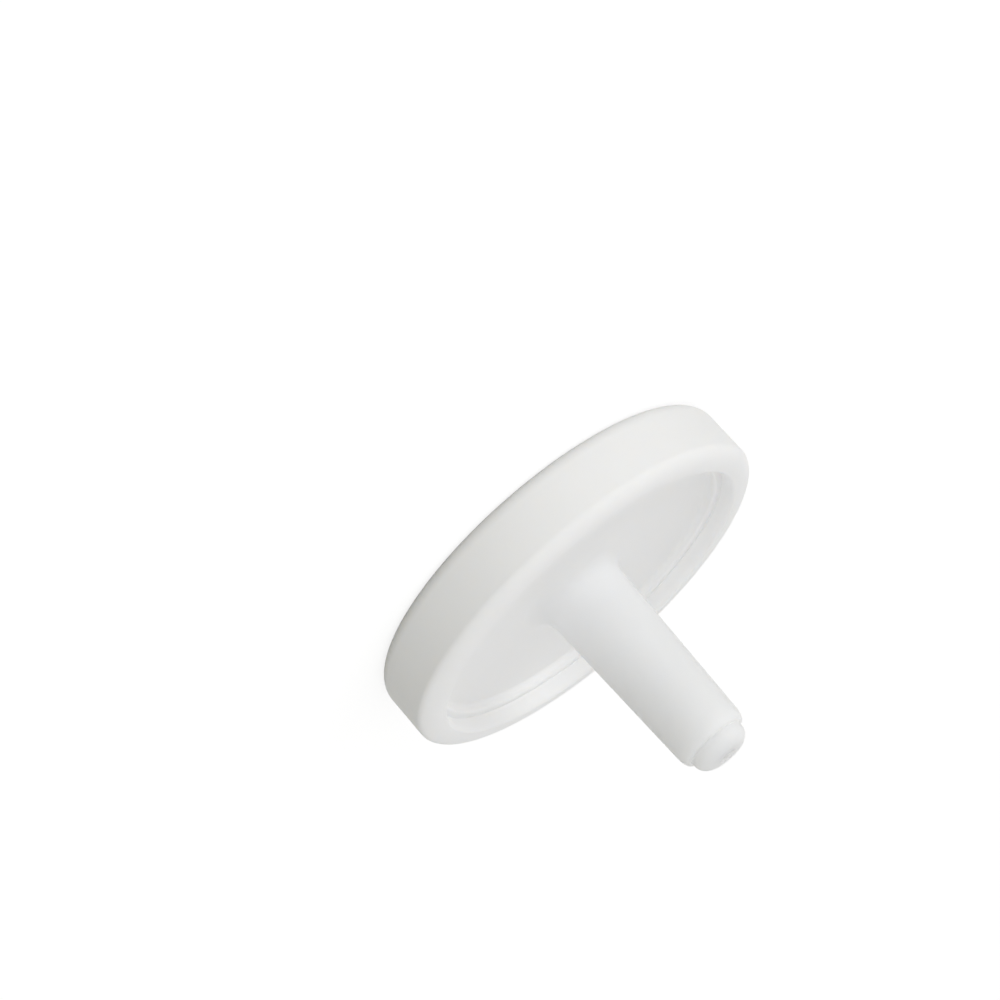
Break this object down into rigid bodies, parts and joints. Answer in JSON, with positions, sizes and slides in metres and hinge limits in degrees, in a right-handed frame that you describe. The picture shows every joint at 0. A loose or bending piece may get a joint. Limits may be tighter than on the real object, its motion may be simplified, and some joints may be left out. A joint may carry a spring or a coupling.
{
  "type": "syringe filter",
  "caption": "White disc filter for a syringe: ribbed round inlet face in a raised rim, membrane inside, and a tapered outlet stem with a domed tip.",
  "frame": {"origin": "centre of the inlet rim's crown, the plane that the part stands on", "axes": "+Z along the flow axis, from the ribbed inlet face towards the outlet stem; +X runs along one long rib"},
  "size_m": [0.03, 0.03, 0.0196],
  "materials": {
    "overmoulded_ring": "white moulded polypropylene, satin",
    "natural_housing": "natural polypropylene, faintly translucent, satin",
    "membrane": "fine-pored membrane, dead matt"
  },
  "bodies": {
    "root": {"rim_ring": "overmoulded_ring", "inlet_plate": "natural_housing", "filter_membrane": "membrane", "outlet_body": "natural_housing"}
  },
  "joints": []
}
